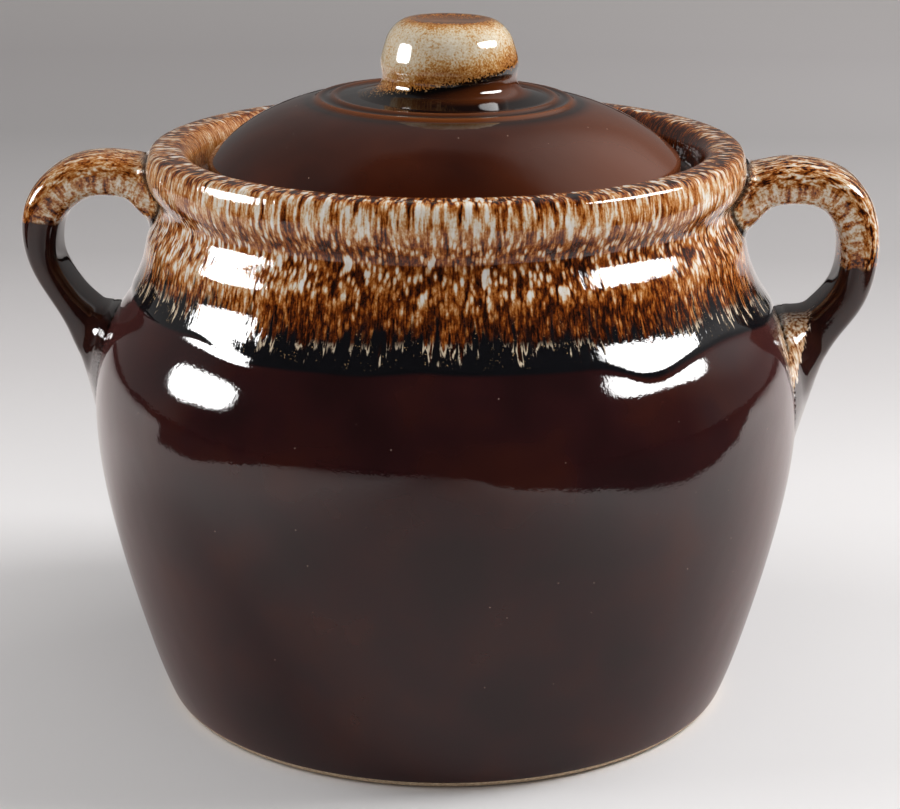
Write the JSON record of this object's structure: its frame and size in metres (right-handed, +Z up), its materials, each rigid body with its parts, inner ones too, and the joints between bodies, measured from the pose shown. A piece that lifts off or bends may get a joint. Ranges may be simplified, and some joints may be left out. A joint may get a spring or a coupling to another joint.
{
  "type": "bean pot",
  "caption": "Round-bellied glazed stoneware pot with a rolled rim, strap handles at both sides and a domed lift-off lid with a knob.",
  "frame": {"origin": "centre of the foot, on the surface that the pot stands on", "axes": "+Z up along the pot's axis, X through both handles, +Y away from the side pictured"},
  "size_m": [0.218, 0.18, 0.174],
  "materials": {
    "brown_glaze": "gloss dark brown glaze",
    "drip_glaze": "gloss mottled cream and rust drip glaze",
    "amber_glaze": "gloss amber brown glaze"
  },
  "bodies": {
    "pot": {"pot_body": "brown_glaze", "left_handle": "drip_glaze", "right_handle": "drip_glaze"},
    "lid": {"lid": "amber_glaze", "lid_knob": "drip_glaze"}
  },
  "joints": [
    {"name": "lid_lift", "type": "slide", "parent": "pot", "child": "lid", "axis": [0, 0, 1], "range_m": [0, 0.08]}
  ]
}
